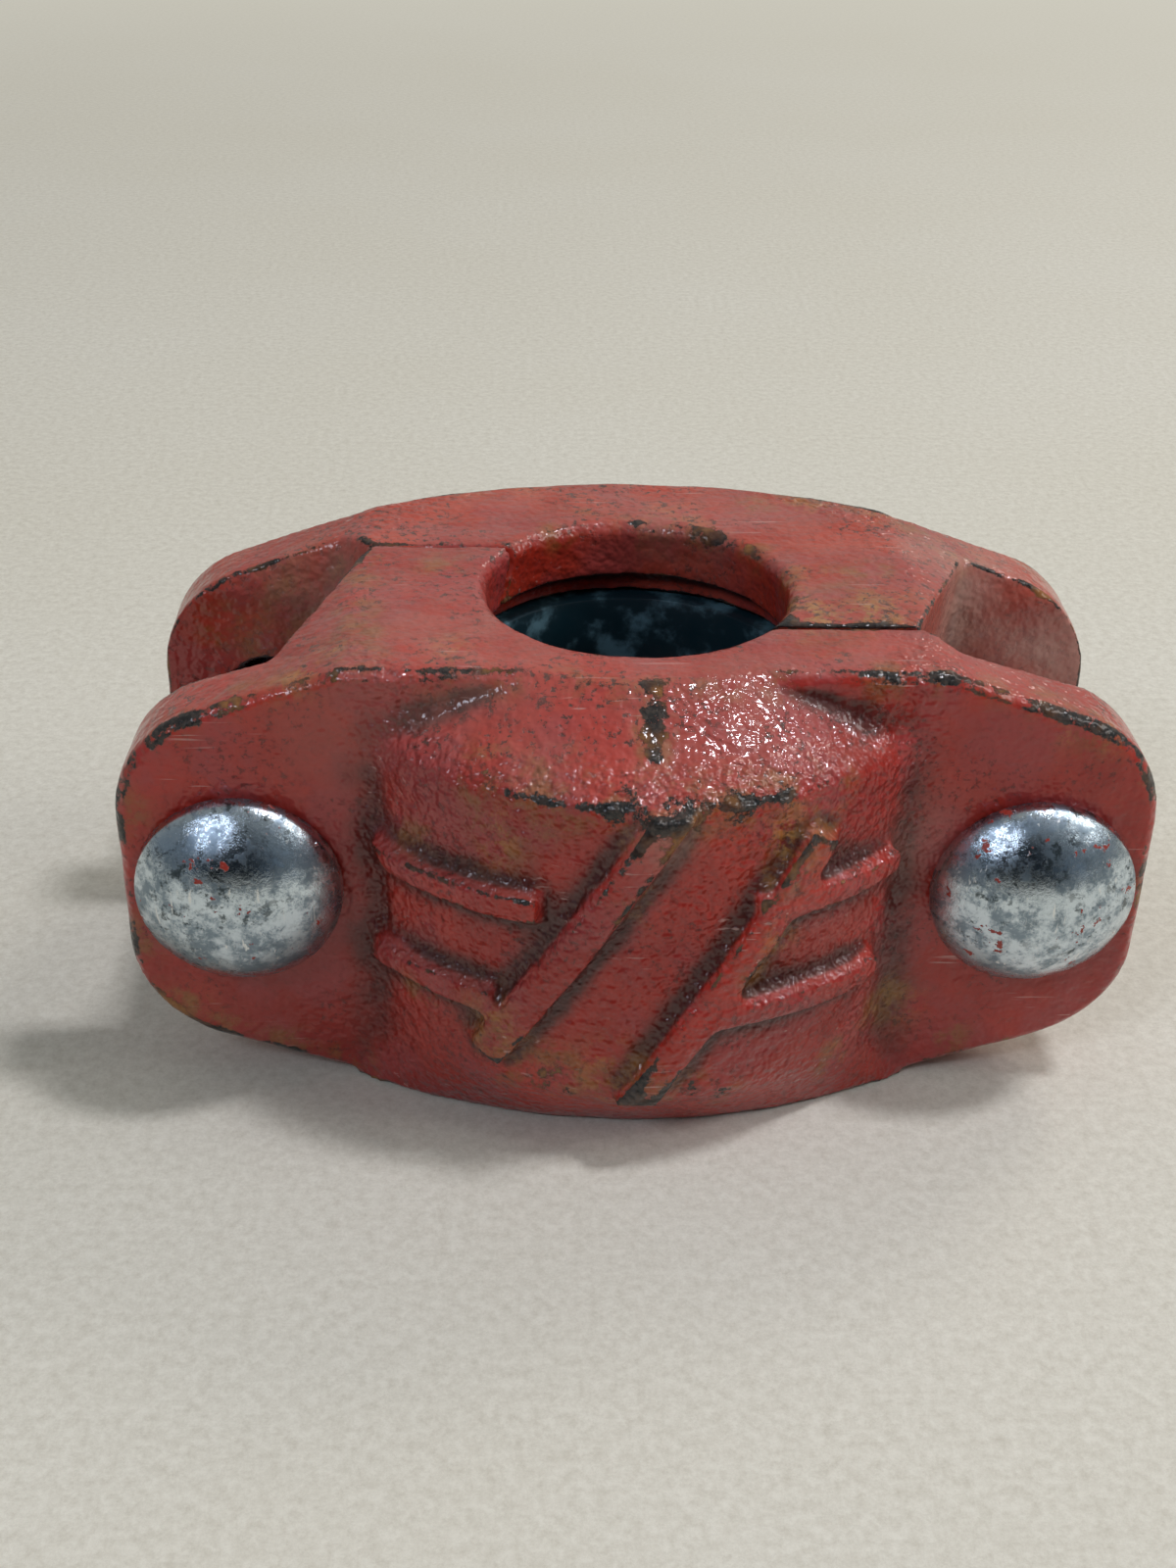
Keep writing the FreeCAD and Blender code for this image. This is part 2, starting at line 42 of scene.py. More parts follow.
# Camera: a phone held about 22 cm in front of the coupling and 13 cm above the
# bench, tipped 31 degrees down. Its place, tilt and lens come from the corners
# of the castings in the photograph.
PITCH, YAW, ROLL = 0.5358, 0.0359, 0.0236
EYE = Vector((-0.01096, -0.18110, 0.13139))
FOCAL_PIXELS, PHOTO_HEIGHT, SENSOR = 1997.9, 1600.0, 36.0

ahead = Vector((math.sin(YAW) * math.cos(PITCH), math.cos(YAW) * math.cos(PITCH),
                -math.sin(PITCH)))
level = Vector((math.cos(YAW), -math.sin(YAW), 0.0))
above = level.cross(ahead)
right = math.cos(ROLL) * level + math.sin(ROLL) * above
upward = -math.sin(ROLL) * level + math.cos(ROLL) * above
lens = bpy.data.cameras.new("bench_view")
lens.lens = FOCAL_PIXELS * SENSOR / PHOTO_HEIGHT
lens.sensor_width = SENSOR
lens.clip_start = 0.01
camera = bpy.data.objects.new("bench_view", lens)
bpy.context.collection.objects.link(camera)
camera.matrix_world = Matrix((
    (right.x, upward.x, -ahead.x, EYE.x),
    (right.y, upward.y, -ahead.y, EYE.y),
    (right.z, upward.z, -ahead.z, EYE.z),
    (0.0, 0.0, 0.0, 1.0)))
bpy.context.scene.camera = camera


# Front housing: ductile iron cast in green sand, so its corners are round and
# its faces slightly wavy. Shaken out, shot blasted and dipped in red enamel,
# which is chipped to dark iron along the edges that knock against others.
MM = 1000.0             # millimetres in a metre
MID = 0.0238            # half the coupling's height, where the bolts lie
BOLT_X = 0.03915        # from the pipe's axis to each bolt's
VOXEL = 0.00046         # grid of the remesh, fine enough for the ribs
SKIN_WAVE = 0.0055      # length of the waves that the sand leaves in the skin
WAVE_DEPTH = 0.0003
CAD_WELD = 0.000002     # joins the loose triangles of a solid


def pick(obj):
    bpy.ops.object.select_all(action='DESELECT')
    obj.select_set(True)
    bpy.context.view_layer.objects.active = obj


def apply_all(obj):
    pick(obj)
    for name in [m.name for m in obj.modifiers]:
        bpy.ops.object.modifier_apply(modifier=name)


def points_of(mesh):
    """Places in millimetres, normals, and the two ends of every edge."""
    count = len(mesh.vertices)
    place = np.empty(count * 3)
    mesh.vertices.foreach_get("co", place)
    facing = np.empty(count * 3, dtype=np.float32)
    mesh.vertex_normals.foreach_get("vector", facing)
    ends = np.empty(len(mesh.edges) * 2, dtype=np.int32)
    mesh.edges.foreach_get("vertices", ends)
    return place.reshape(count, 3) * MM, facing.reshape(count, 3).astype(float), ends


def relaxed(values, ends, times):
    """Each value drawn towards the mean of its neighbours, so many times."""
    pull = 0.6
    count = len(values)
    one, two = ends[0::2], ends[1::2]
    links = np.bincount(ends, minlength=count)[:, None]
    for _ in range(times):
        around = np.stack([
            np.bincount(one, values[two, k], count)
            + np.bincount(two, values[one, k], count)
            for k in range(values.shape[1])], axis=1) / links
        values = (1.0 - pull) * values + pull * around
    return values


def fill_corners(obj):
    """Weights the points that the mould rounds more than the rest: the hollow
    corners where the pads run into the belly, the ribs and the shoulders."""
    hollow_depth = 0.30                     # a corner this hollow is filled in full
    wide_rounds, soft_rounds, gain = 40, 14, 2.2
    bore_rim, seat_rim = 26.6, 10.6         # radii left sharp round bore and bolt seats
    side_face = 22.9                        # where the flat side faces begin
    pads_from, pads_fade = 20.5, 4.0        # the belly's end and the step into the pads
    rib_radius, rib_reach, rib_height = 29.5, 27.0, 17.5
    place, facing, ends = points_of(obj.data)
    hollow = -((place - relaxed(place, ends, wide_rounds)) * facing).sum(axis=1)
    hollow = np.clip(hollow[:, None] / hollow_depth, 0.0, 1.0)
    weight = np.clip(relaxed(hollow, ends, soft_rounds)[:, 0] * gain, 0.0, 1.0)
    across = np.abs(place[:, 0])
    tall = np.abs(place[:, 2] - MID * MM)
    from_bore = np.hypot(place[:, 0], place[:, 1])
    from_bolt = np.hypot(across - BOLT_X * MM, tall)
    weight[(from_bore < bore_rim) | (from_bolt < seat_rim) | (tall > side_face)] = 0.0
    weight *= np.clip((across - pads_from) / pads_fade, 0.0, 1.0)
    group = obj.vertex_groups["hollow_corners"]
    for step in range(1, 11):
        chosen = np.nonzero(np.round(weight * 10.0).astype(int) == step)[0]
        group.add(chosen.tolist(), step / 10.0, 'REPLACE')
    ribs = (from_bore > rib_radius) & (across < rib_reach) & (tall < rib_height)
    # the shoulders slope from the belly's upper and lower bends to the pads
    shoulders = ((from_bore > bore_rim) & (across > 13.0) & (across < 30.0)
                 & (np.abs(place[:, 1]) > 18.0) & (tall > 14.0) & (tall < 21.6))
    for name, chosen in (("ribs", ribs), ("shoulders", shoulders)):
        obj.vertex_groups[name].add(np.nonzero(chosen)[0].tolist(), 1.0, 'REPLACE')


def cast_copy(node, name, seed):
    """The casting's solid with the round corners and waves that sand gives."""
    made = bpy.data.objects.new(name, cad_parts[node].data.copy())
    made.data.materials.clear()
    bpy.context.collection.objects.link(made)
    pick(made)
    bpy.ops.object.mode_set(mode='EDIT')
    bpy.ops.mesh.select_all(action='SELECT')
    bpy.ops.mesh.remove_doubles(threshold=CAD_WELD)
    bpy.ops.object.mode_set(mode='OBJECT')
    grid = made.modifiers.new("sand_grain", 'REMESH')
    grid.mode = 'VOXEL'
    grid.voxel_size = VOXEL
    grid.use_smooth_shade = True
    apply_all(made)
    for group in ("hollow_corners", "ribs", "shoulders"):
        made.vertex_groups.new(name=group)
    fill_corners(made)
    # rounds of smoothing for each group, and the last ones for the whole casting
    for group, times in (("ribs", 11), ("shoulders", 45), ("hollow_corners", 70), ("", 7)):
        softer = made.modifiers.new("round_" + (group or "corners"), 'SMOOTH')
        softer.factor = 0.5
        softer.iterations = times
        softer.vertex_group = group
    cloud = bpy.data.textures.new(name + "_wave", 'CLOUDS')
    cloud.noise_scale = SKIN_WAVE
    cloud.noise_depth = 2
    # the waves only lower the skin, so it stays inside the solid's box
    wave = made.modifiers.new("skin_wave", 'DISPLACE')
    wave.texture = cloud
    wave.texture_coords = 'OBJECT'
    wave.mid_level = 1.0
    wave.strength = WAVE_DEPTH
    shift = bpy.data.objects.new(name + "_pattern", None)
    shift.location = (0.031 * seed, 0.017 * seed, 0.023 * seed)
    bpy.context.collection.objects.link(shift)
    wave.texture_coords_object = shift
    bpy.context.view_layer.update()
    apply_all(made)
    bpy.data.objects.remove(shift)
    bpy.ops.object.shade_smooth()
    return made


def mark_surface(obj, knocks, hazes, stains):
    """Stores how far each point stands proud or lies sunk in a hollow, which the
    enamel uses for its chips and for painted shade in the hollows, how level it
    lies, how coarse its sand skin is (the belly's is coarsest), and how much the
    knocks, pale hazes (dust, and partly painted light on the rear right pad) and
    rust stains listed in millimetres reach it."""
    near_rounds, far_rounds = 12, 60
    sharp_edge, broad_bend = 0.22, 0.75     # heights that count as fully proud
    belly_radius, belly_reach = 27.5, 31.0  # the belly lies outside and inboard of these
    radius_fade, reach_fade = 2.5, 6.0
    place, facing, ends = points_of(obj.data)
    near = relaxed(place, ends, near_rounds)
    far = relaxed(near, ends, far_rounds)
    proud = ((place - near) * facing).sum(axis=1)
    broad = ((place - far) * facing).sum(axis=1)
    worn, pale, rusty = np.zeros((3, len(place)))
    for spots, reached in ((knocks, worn), (hazes, pale), (stains, rusty)):
        for x, y, z, reach, amount in spots:
            away = ((place - (x, y, z)) ** 2).sum(axis=1) / reach ** 2
            np.maximum(reached, amount * np.exp(-away), out=reached)
    outside = (np.hypot(place[:, 0], place[:, 1]) - belly_radius) / radius_fade
    inboard = (belly_reach - np.abs(place[:, 0])) / reach_fade
    marks = {
        "grit": np.clip(outside, 0.0, 1.0) * np.clip(inboard, 0.0, 1.0),
        "edge": np.clip(proud / sharp_edge, -1.0, 1.0),
        "ridge": np.clip(broad / broad_bend, -1.0, 1.0),
        "level": np.clip(facing[:, 2], 0.0, 1.0),
        "worn": worn,
        "pale": pale,
        "rusty": rusty,
    }
    for name, values in marks.items():
        stored = obj.data.attributes.new(name, 'FLOAT', 'POINT')
        stored.data.foreach_set("value", values.astype(np.float32))


def linear(code):
    """An sRGB hex colour as the linear colour that a socket takes."""
    parts = [int(code[i:i + 2], 16) / 255.0 for i in (1, 3, 5)]
    return tuple(c / 12.92 if c <= 0.04045 else ((c + 0.055) / 1.055) ** 2.4
                 for c in parts) + (1.0,)


def add_node(tree, kind, sockets=None, **settings):
    """A node with its settings, and its sockets set, or linked to a socket or to
    the output in use of another node."""
    made = tree.nodes.new('ShaderNode' + kind)
    for name, value in settings.items():
        setattr(made, name, value)
    for name, value in (sockets or {}).items():
        if isinstance(value, bpy.types.Node):
            value = next(end for end in value.outputs if end.enabled)
        if isinstance(value, bpy.types.NodeSocket):
            tree.links.new(value, made.inputs[name])
        else:
            made.inputs[name].default_value = value
    return made


def new_material(name):
    made = bpy.data.materials.new(name)
    made.use_nodes = True
    made.node_tree.nodes.clear()
    return made, made.node_tree


def add_patterns(tree, known, grains, spans):
    """Adds a material's patterns to those known by name. A grain is a noise, given
    as name, vector, size in millimetres, detail and roughness. A span is given as
    name, known pattern, its low and high, and the least and most that it eases to."""
    for name, vector, size, detail, rough in grains:
        known[name] = add_node(tree, 'TexNoise', {
            'Vector': vector, 'Scale': MM / size, 'Detail': detail, 'Roughness': rough})
    for name, pattern, low, high, least, most in spans:
        known[name] = add_node(tree, 'MapRange', {
            'Value': known[pattern], 'From Min': low, 'From Max': high,
            'To Min': least, 'To Max': most}, interpolation_type='SMOOTHSTEP')
    return known


# Alkyd enamel dipped over cast iron: an opaque red film with a soft gloss. It
# follows the sand texture in 0.8 to 1 mm bumps that break each highlight into
# sparkles, dust lies on its level faces, and iron and rust show at the knocks.
def red_enamel(name, seed, deep, bright):
    made, tree = new_material(name)
    where = add_node(tree, 'TexCoord').outputs['Object']
    moved = add_node(tree, 'Mapping', {
        'Vector': where, 'Location': (0.11 * seed, 0.07 * seed, 0.05 * seed)})
    drawn = add_node(tree, 'Mapping', {
        'Vector': moved, 'Rotation': (0.3, 0.5, 0.2), 'Scale': (0.05, 1.0, 1.0)})
    known = {mark: add_node(tree, 'Attribute', attribute_name=mark).outputs['Fac']
             for mark in ("edge", "ridge", "level", "worn", "pale", "grit", "rusty")}
    # what the film, its wear and its gloss are made from
    add_patterns(tree, known, [
        ("blotch", moved, 14.0, 4.0, 0.55), ("fleck", moved, 1.7, 8.0, 0.78),
        ("speck", moved, 0.7, 4.0, 0.6), ("tint", moved, 8.0, 3.0, 0.55),
        ("runs", moved, 4.2, 5.0, 0.7), ("seeps", moved, 2.6, 7.0, 0.75),
        ("ochre", moved, 4.5, 3.0, 0.55), ("pits", moved, 0.8, 4.0, 0.75),
        ("crowds", moved, 9.0, 3.0, 0.55), ("hairs", drawn, MM / 2200.0, 2.0, 0.5),
        ("scuffs", moved, 11.0, 2.0, 0.55), ("dust", moved, 6.0, 5.0, 0.55),
        ("rusts", moved, 3.4, 5.0, 0.55), ("scale", moved, 7.0, 4.0, 0.55),
        ("sand", moved, 0.95, 1.0, 0.5), ("swell", moved, 2.4, 2.0, 0.5),
    ], [
        ("patchy", "blotch", 0.36, 0.66, 0.0, 1.0),
        ("browned", "fleck", 0.52, 0.74, 0.0, 0.35),
        ("pinked", "tint", 0.46, 0.62, 0.0, 0.5),
        # the next two spans mask painted shade: the film darkens where the skin lies sunk in a
        # broad hollow or a tight corner
        ("hollow", "ridge", -0.04, -0.5, 0.0, 0.75),
        ("painted_corner_shade", "edge", -0.05, -0.7, 0.0, 0.8),
        ("knocked", "worn", 0.05, 0.5, 0.0, 1.0),
        ("running", "runs", 0.44, 0.62, 0.0, 0.72),
        ("seeping", "seeps", 0.45, 0.56, 0.0, 1.0),
        ("yellowed", "ochre", 0.42, 0.6, 0.0, 1.0),
        ("pitted", "pits", 0.55, 0.61, 0.0, 1.0),
        ("crowded", "crowds", 0.44, 0.58, 0.28, 1.0),
        ("upward", "level", 0.3, 1.0, 0.55, 0.95),
        ("scratched", "hairs", 0.66, 0.72, 0.0, 1.0),
        ("scuffed", "scuffs", 0.5, 0.62, 0.0, 0.5),
        ("settled", "level", 0.45, 1.0, 0.0, 0.22),
        ("dusted", "dust", 0.34, 0.62, 0.45, 1.0),
        ("hugging", "edge", 0.2, 0.9, 0.5, 1.0),
        ("sharp", "edge", 0.30, 1.0, 0.0, 0.54),
        ("uneven", "blotch", 0.3, 0.7, -1.0, 1.0),
        ("scaled", "speck", 0.4, 0.64, 0.0, 1.0),
        ("rusted", "rusts", 0.4, 0.62, 0.0, 1.0),
        ("rusting", "scale", 0.5, 0.64, 0.0, 0.8),
        ("sheen", "speck", 0.3, 0.7, 0.34, 0.5),
        ("sanded", "grit", 0.0, 1.0, 0.24, 0.66),
    ])

    # where the film changes: rust runs from the knocks and seeps at the stains,
    # pits crowd on level faces, hair scratches and dust come in patches, and the
    # pale hazes join the dust, partly painted light on the rear right pad
    for name, one, two, how in (
            ("run", "knocked", "running", 'MULTIPLY'),
            ("seep", "rusty", "seeping", 'MULTIPLY'),
            ("crowd", "crowded", "rusty", 'MAXIMUM'),
            ("crowd", "crowd", "upward", 'MULTIPLY'),
            ("pit", "pitted", "crowd", 'MULTIPLY'),
            ("hair", "scratched", "scuffed", 'MULTIPLY'),
            ("settled_and_pale", "settled", "pale", 'MAXIMUM'),
            ("dust_and_painted_light", "settled_and_pale", "dusted", 'MULTIPLY')):
        known[name] = add_node(tree, 'Math', {0: known[one], 1: known[two]}, operation=how)
    ochre = add_node(tree, 'Mix', {
        0: known["yellowed"], 6: linear('#7d4a20'), 7: linear('#b0803a')}, data_type='RGBA')
    film = add_node(tree, 'Mix', {
        0: known["patchy"], 6: linear(deep), 7: linear(bright)}, data_type='RGBA')
    for amount, colour in (
            ("browned", linear('#7e2c23')), ("pinked", linear('#9e4042')),
            # painted shade: the two dark colours on this line darken the film in hollows and
            # corners
            ("hollow", linear('#4c1912')), ("painted_corner_shade", linear('#3f1612')),
            ("run", linear('#8c5b2c')), ("seep", ochre), ("pit", linear('#32201a')),
            # the dust colour is partly painted light where the rear right pad's haze lies
            ("hair", linear('#c9a49b')), ("dust_and_painted_light", linear('#bd8f80'))):
        film = add_node(tree, 'Mix', {0: known[amount], 6: film, 7: colour}, data_type='RGBA')

    # chips: a thin line where an edge stands proud, wider where a knock fell,
    # broken up by a fine noise. Past the threshold the film is gone.
    threshold = 1.84
    bare = known["sharp"]
    for pattern, share in (("ridge", 0.18), ("worn", known["hugging"]), ("uneven", 0.20),
                           ("fleck", 1.8), ("speck", 0.6)):
        bare = add_node(tree, 'Math', {0: known[pattern], 1: share, 2: bare},
                        operation='MULTIPLY_ADD')
    known["depth"] = add_node(tree, 'Math', {0: bare, 1: threshold}, operation='SUBTRACT')
    add_patterns(tree, known, [], [
        ("chip", "depth", 0.0, 0.05, 0.0, 1.0), ("fringe", "depth", -0.12, 0.02, 0.0, 0.62)])
    iron = add_node(tree, 'Mix', {
        0: known["scaled"], 6: linear('#191817'), 7: linear('#443a34')}, data_type='RGBA')
    rust = add_node(tree, 'Mix', {
        0: known["rusted"], 6: linear('#5a3320'), 7: linear('#a56b34')}, data_type='RGBA')
    iron = add_node(tree, 'Mix', {0: known["rusting"], 6: iron, 7: rust}, data_type='RGBA')
    colour = add_node(tree, 'Mix', {
        0: known["fringe"], 6: film, 7: linear('#6a3a2a')}, data_type='RGBA')
    colour = add_node(tree, 'Mix', {0: known["chip"], 6: colour, 7: iron}, data_type='RGBA')

    # gloss: the clean film shines, dust and bare iron don't
    gloss = known["sheen"]
    for pattern, share in (("dust_and_painted_light", 0.5), ("chip", 0.34)):
        gloss = add_node(tree, 'Math', {0: known[pattern], 1: share, 2: gloss},
                         operation='MULTIPLY_ADD')

    # relief in millimetres: sand texture, a wider swell, pits and the chips' edge
    relief = add_node(tree, 'Math', {0: known["sand"], 1: known["sanded"]},
                      operation='MULTIPLY')
    for pattern, height in (("swell", 0.26), ("pit", -0.05), ("chip", -0.07)):
        relief = add_node(tree, 'Math', {0: known[pattern], 1: height, 2: relief},
                          operation='MULTIPLY_ADD')
    bump = add_node(tree, 'Bump', {
        'Strength': 1.0, 'Distance': 1.0 / MM, 'Height': relief})
    shader = add_node(tree, 'BsdfPrincipled', {
        'Base Color': colour, 'Roughness': gloss, 'Normal': bump, 'IOR': 1.5,
        'Specular IOR Level': 0.25, 'Coat Weight': 0.7, 'Coat Roughness': 0.06,
        'Coat Normal': bump})
    add_node(tree, 'OutputMaterial', {'Surface': shader})
    return made


# (x, y, z, reach, amount) in millimetres, from the wear that the photograph
# shows: the long upper edge, both shoulders, the belly's bend, the lower ridge
front_knocks = [
    (-27.4, -16.5, 47.6, 3.4, 0.60), (-32.9, -17.1, 46.1, 3.4, 0.50),
    (-38.5, -17.5, 44.2, 3.0, 0.44), (-44.9, -19.2, 41.4, 3.0, 0.46),
    (-49.8, -19.8, 32.0, 3.4, 0.46), (-50.5, -19.5, 17.0, 3.4, 0.60),
    (-47.5, -19.8, 8.0, 3.4, 1.05), (-42.5, -19.8, 4.6, 3.2, 1.10),
    (-36.0, -19.8, 2.6, 3.2, 1.00), (-29.0, -19.8, 1.6, 2.6, 0.80),
    (-19.1, -18.8, 47.6, 3.2, 0.50), (-13.0, -19.6, 47.5, 3.0, 0.46),
    (-7.0, -20.6, 47.4, 3.0, 0.46), (-2.0, -21.6, 47.4, 2.6, 0.44),
    (6.5, -21.4, 47.3, 3.0, 0.50), (12.5, -20.2, 47.4, 3.0, 0.46),
    (0.7, -21.9, 47.3, 1.8, 1.60), (0.6, -24.0, 45.9, 1.5, 2.00),
    (0.6, -25.8, 44.7, 1.5, 2.00), (0.5, -27.8, 43.4, 1.3, 1.60),
    (-9.0, -29.9, 40.6, 4.0, 1.00), (-14.6, -27.6, 41.0, 3.2, 1.05),
    (-2.1, -32.4, 40.2, 3.4, 1.15), (3.2, -32.2, 40.4, 3.4, 1.15),
    (8.6, -30.8, 40.6, 3.0, 1.05), (12.6, -29.4, 40.6, 2.6, 0.90),
    (17.0, -27.6, 40.3, 3.0, 0.90), (22.6, -19.3, 47.2, 3.0, 0.56),
    (27.7, -19.0, 47.5, 3.0, 0.50), (33.0, -18.4, 46.0, 3.0, 0.36),
    (39.0, -18.1, 44.0, 3.2, 0.52), (43.2, -19.7, 41.7, 3.0, 0.50),
    (48.4, -19.8, 35.9, 3.0, 0.44), (50.6, -19.8, 24.0, 3.0, 0.44),
    (-8.7, -31.3, 9.0, 4.0, 0.90), (-1.2, -33.9, 8.6, 4.0, 0.95),
    (-13.0, -29.5, 8.6, 3.0, 0.70), (4.5, -33.0, 8.0, 3.0, 0.80),
    (-28.6, 5.4, 47.6, 2.6, 0.90), (-28.0, -6.4, 47.6, 2.8, 0.80),
    (-28.4, 0.0, 47.6, 2.8, 0.75), (-27.6, -11.5, 47.6, 2.8, 0.75),
    (-20.0, 4.3, 47.6, 3.6, 0.50), (20.6, -9.9, 47.6, 2.4, 0.60),
    (7.8, -30.6, 6.0, 3.0, 0.64), (-14.5, -30.7, 14.5, 3.0, 0.70),
    (-21.4, -24.5, 14.5, 3.0, 0.66), (20.1, -25.4, 6.7, 3.0, 0.60),
    (32.3, -19.8, 4.8, 3.2, 0.60), (-21.9, -24.0, 32.6, 2.6, 0.66),
    (-13.9, -29.4, 35.4, 3.4, 0.70), (16.3, -28.1, 37.5, 2.6, 0.70),
    (12.7, -29.9, 33.2, 3.0, 0.80), (-1.0, -33.0, 30.0, 3.0, 0.60),
    (26.0, -21.0, 10.0, 2.6, 0.80), (10.0, -31.0, 22.0, 2.4, 0.70),
]
# a pale haze of fine dust and rubbed paint
front_hazes = [
    (-17.0, -12.0, 47.6, 12.0, 0.42), (1.2, -33.0, 37.5, 3.0, 0.5),
    (26.5, -21.0, 30.0, 5.0, 0.26), (-30.0, -19.8, 41.0, 7.0, 0.16),
]
# rust that has seeped from under the film
front_stains = [
    (-46.0, -19.8, 7.0, 3.0, 0.6), (-33.0, -17.3, 46.2, 2.6, 0.6),
    (-28.0, -14.0, 47.6, 4.0, 0.4), (-13.0, -28.5, 35.6, 3.0, 0.7),
    (-14.5, -30.7, 14.5, 3.4, 0.6), (13.0, -29.9, 36.0, 3.4, 0.6),
    (26.0, -21.0, 10.0, 3.4, 0.5), (43.0, -19.0, 42.0, 3.0, 0.7),
    (18.0, -12.0, 47.6, 3.6, 0.45), (-3.0, -33.4, 9.0, 5.0, 0.5),
    (12.6, -30.6, 25.0, 2.6, 0.6), (-18.0, -14.5, 47.6, 3.0, 0.4),
]
front_housing = cast_copy("front_housing", "front_casting", 1)
mark_surface(front_housing, front_knocks, front_hazes, front_stains)
front_housing.data.materials.append(
    red_enamel("red_alkyd_enamel_front", 1, '#9c261d', '#b43226'))
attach(front_housing, "front")
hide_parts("front_housing")


# Rear housing: a second casting from the same pattern, turned half round about
# the line of the bolts, with its own dents and wear.
rear_knocks = [
    (33.0, 16.5, 46.6, 4.0, 0.66), (36.3, 12.4, 44.8, 2.8, 0.70),
    (32.3, 12.1, 46.3, 2.4, 0.66), (24.1, 4.0, 47.6, 3.0, 0.66),
    (22.1, -3.2, 47.6, 3.6, 0.76), (18.4, -8.5, 47.4, 2.3, 1.16),
    (21.4, -8.6, 47.4, 2.3, 1.10), (24.4, -8.8, 47.4, 2.2, 1.16),
    (15.6, -8.4, 47.5, 2.2, 1.20), (15.8, -4.0, 47.4, 2.6, 0.76),
    (15.4, 3.0, 47.4, 2.4, 0.60), (12.4, 9.0, 47.4, 2.6, 0.60),
    (8.1, 13.5, 47.1, 2.8, 0.66), (0.8, 15.8, 47.2, 2.6, 0.60),
    (-7.6, 13.9, 47.2, 2.6, 0.56), (-4.5, 20.3, 47.6, 3.0, 0.50),
    (14.0, 21.0, 47.4, 3.0, 0.56), (-18.0, 27.0, 47.0, 4.4, 0.52),
    (-8.0, 31.0, 47.0, 4.6, 0.62), (1.5, 32.4, 47.0, 4.6, 0.56),
    (11.0, 30.6, 47.0, 4.6, 0.60), (20.0, 25.6, 47.0, 4.6, 0.66),
    (27.0, 21.0, 47.0, 4.0, 0.56), (45.0, 19.0, 40.0, 3.4, 0.56),
    (-36.3, 12.0, 39.0, 4.0, 0.70), (-39.8, 12.0, 34.8, 3.0, 0.70),
    (-32.0, 12.0, 42.4, 3.0, 0.70), (-44.2, 12.0, 36.8, 3.0, 0.66),
    (-50.4, 15.0, 28.0, 3.0, 0.56), (50.4, 15.0, 22.0, 3.0, 0.56),
]
# the right pad's inner face hazed pale, partly rubbed dust and partly painted
# light that stands in for the light it catches; the left pad and the top rubbed
# pale; rust along the split and the upper edge
rear_hazes_and_painted_light = [
    (36.0, 11.5, 38.0, 10.0, 0.95), (46.0, 12.0, 34.0, 9.0, 0.95),
    (-34.0, 12.0, 40.0, 8.0, 0.50), (6.2, 17.8, 47.6, 9.0, 0.34),
    (30.0, 10.0, 47.0, 4.0, 0.50),
]
rear_stains = [
    (18.0, -6.8, 47.6, 3.4, 0.95), (22.5, -6.6, 47.6, 3.6, 0.95),
    (25.5, -4.0, 47.6, 3.0, 0.6), (15.6, -3.0, 47.0, 3.0, 0.7),
    (20.0, 2.0, 47.6, 5.0, 0.4), (-14.0, 28.0, 47.6, 4.0, 0.6),
    (-3.0, 31.0, 47.6, 5.0, 0.5), (22.0, 23.6, 47.6, 4.2, 0.9),
    (28.6, 19.6, 47.4, 3.4, 0.7), (36.0, 14.0, 45.4, 3.0, 0.6),
    (4.0, 16.0, 47.4, 4.0, 0.5), (-36.0, 12.0, 40.0, 4.0, 0.6),
]
rear_housing = cast_copy("rear_housing", "rear_casting", 2)
mark_surface(rear_housing, rear_knocks, rear_hazes_and_painted_light, rear_stains)
rear_housing.data.materials.append(
    red_enamel("red_alkyd_enamel_rear", 2, '#a32a1a', '#bb3d26'))
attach(rear_housing, "rear")
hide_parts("rear_housing")


# Gasket: EPDM rubber moulded as a closed ring with a C section. Its two lips
# press on the pipe, and the round of the lips shows through the bore.
OUTER, HOLLOW, LIP_BACK, SHOULDER, LIP = 24.3, 20.9, 18.6, 17.5, 16.2     # radii
WIDE, HOLLOW_WIDE, LIP_WIDE, SHOULDER_WIDE = 14.45, 11.45, 6.4, 5.5       # half widths
SEAM = 0.35             # half the width of the fine groove round the outside
WELD = 0.0000005


def turned(name, outline, at, axis, steps, closed=False):
    """A turned piece: its outline drawn point by point as (radius, along) in
    millimetres, then spun round the axis through the place given."""
    bpy.ops.object.select_all(action='DESELECT')
    bpy.ops.mesh.primitive_plane_add(size=0.001, location=(0.0, 0.0, 0.0))
    made = bpy.context.object
    made.name = name
    points = [Vector(at) + Vector((radius, 0.0, 0.0)) / MM + Vector(axis) * along / MM
              for radius, along in outline]
    bpy.ops.object.mode_set(mode='EDIT')
    bpy.ops.mesh.select_mode(type='VERT')
    bpy.ops.mesh.select_all(action='SELECT')
    bpy.ops.mesh.merge(type='CENTER')
    bpy.ops.transform.translate(value=points[0])
    for start, end in zip(points, points[1:] + (points[:1] if closed else [])):
        bpy.ops.mesh.extrude_vertices_move(
            MESH_OT_extrude_verts_indiv={}, TRANSFORM_OT_translate={"value": end - start})
    bpy.ops.mesh.select_all(action='SELECT')
    bpy.ops.mesh.remove_doubles(threshold=WELD)
    bpy.ops.mesh.spin(steps=steps, angle=2.0 * math.pi, center=at, axis=axis)
    bpy.ops.mesh.select_all(action='SELECT')
    bpy.ops.mesh.remove_doubles(threshold=WELD)
    bpy.ops.mesh.normals_make_consistent(inside=False)
    bpy.ops.object.mode_set(mode='OBJECT')
    return made


def round_edges(obj, width, segments, limit=30.0):
    """Rounds every edge sharper than the limit and shades the rest smooth."""
    soft = obj.modifiers.new("round_edges", 'BEVEL')
    soft.width = width
    soft.segments = segments
    soft.limit_method = 'ANGLE'
    soft.angle_limit = math.radians(limit)
    apply_all(obj)
    bpy.ops.object.shade_smooth_by_angle(angle=math.radians(40.0))


